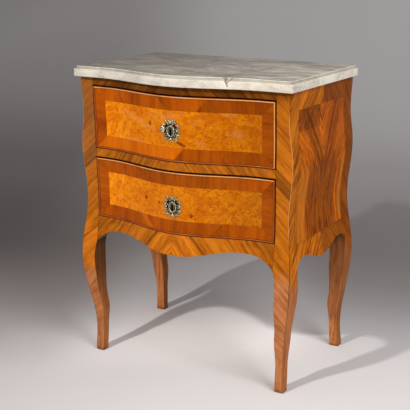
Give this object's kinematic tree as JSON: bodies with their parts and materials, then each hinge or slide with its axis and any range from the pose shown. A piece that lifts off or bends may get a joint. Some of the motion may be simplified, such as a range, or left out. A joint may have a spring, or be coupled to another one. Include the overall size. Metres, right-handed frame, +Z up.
{
  "type": "commode chest",
  "caption": "Small commode chest with a bowed serpentine front, cabriole legs, veneered drawers with working locks, and a loose marble top.",
  "frame": {"origin": "middle of the whole object's box, on the floor", "axes": "+Z up, the drawer fronts face -Y, +X to the right seen from the front"},
  "size_m": [0.6686, 0.463, 0.82],
  "materials": {
    "marble": "honed grey-white marble with soft grey veins",
    "veneer": "waxed semi-gloss diagonal-grained veneer",
    "burl": "waxed semi-gloss burl field in a cross-banded border",
    "bead": "waxed solid wood bead",
    "carcass_wood": "unfinished softwood, darkened with age",
    "brass": "cast brass with a dull silvery patina",
    "iron": "old wrought iron, brown-grey"
  },
  "bodies": {
    "root": {"marble_top": "marble", "front_left_leg": "veneer", "front_right_leg": "veneer", "rear_left_leg": "veneer", "rear_right_leg": "veneer", "left_side_panel": "veneer", "right_side_panel": "veneer", "top_front_rail": "veneer", "middle_front_rail": "veneer", "front_apron": "veneer", "back_board_1": "carcass_wood", "back_board_2": "carcass_wood", "back_board_3": "carcass_wood", "top_back_rail": "carcass_wood", "bottom_back_rail": "carcass_wood", "upper_left_runner": "carcass_wood", "upper_left_guide": "carcass_wood", "upper_right_runner": "carcass_wood", "upper_right_guide": "carcass_wood", "upper_drawer_stop": "carcass_wood", "dust_board": "carcass_wood", "lower_left_runner": "carcass_wood", "lower_left_guide": "carcass_wood", "lower_right_runner": "carcass_wood", "lower_right_guide": "carcass_wood", "lower_drawer_stop": "carcass_wood", "bottom_board": "carcass_wood", "top_left_rail": "carcass_wood", "top_right_rail": "carcass_wood"},
    "upper_drawer": {"upper_drawer_front": "burl", "upper_drawer_left_side": "carcass_wood", "upper_drawer_right_side": "carcass_wood", "upper_drawer_back": "carcass_wood", "upper_drawer_bottom": "carcass_wood", "upper_drawer_top_bead": "bead", "upper_drawer_bottom_bead": "bead", "upper_drawer_left_bead": "bead", "upper_drawer_right_bead": "bead", "upper_escutcheon": "brass", "upper_escutcheon_pin_1": "brass", "upper_escutcheon_pin_2": "brass", "upper_escutcheon_pin_3": "brass", "upper_lock_case": "iron"},
    "upper_bolt": {"upper_lock_bolt": "iron"},
    "lower_drawer": {"lower_drawer_front": "burl", "lower_drawer_left_side": "carcass_wood", "lower_drawer_right_side": "carcass_wood", "lower_drawer_back": "carcass_wood", "lower_drawer_bottom": "carcass_wood", "lower_drawer_top_bead": "bead", "lower_drawer_bottom_bead": "bead", "lower_drawer_left_bead": "bead", "lower_drawer_right_bead": "bead", "lower_escutcheon": "brass", "lower_escutcheon_pin_1": "brass", "lower_escutcheon_pin_2": "brass", "lower_escutcheon_pin_3": "brass", "lower_lock_case": "iron"},
    "lower_bolt": {"lower_lock_bolt": "iron"}
  },
  "joints": [
    {"name": "upper_drawer_slide", "type": "slide", "parent": "root", "child": "upper_drawer", "axis": [0, -1, 0], "range_m": [0, 0.25]},
    {"name": "lower_drawer_slide", "type": "slide", "parent": "root", "child": "lower_drawer", "axis": [0, -1, 0], "range_m": [0, 0.25]},
    {"name": "upper_bolt_slide", "type": "slide", "parent": "upper_drawer", "child": "upper_bolt", "axis": [0, 0, 1], "range_m": [0, 0.006]},
    {"name": "lower_bolt_slide", "type": "slide", "parent": "lower_drawer", "child": "lower_bolt", "axis": [0, 0, 1], "range_m": [0, 0.008]}
  ]
}
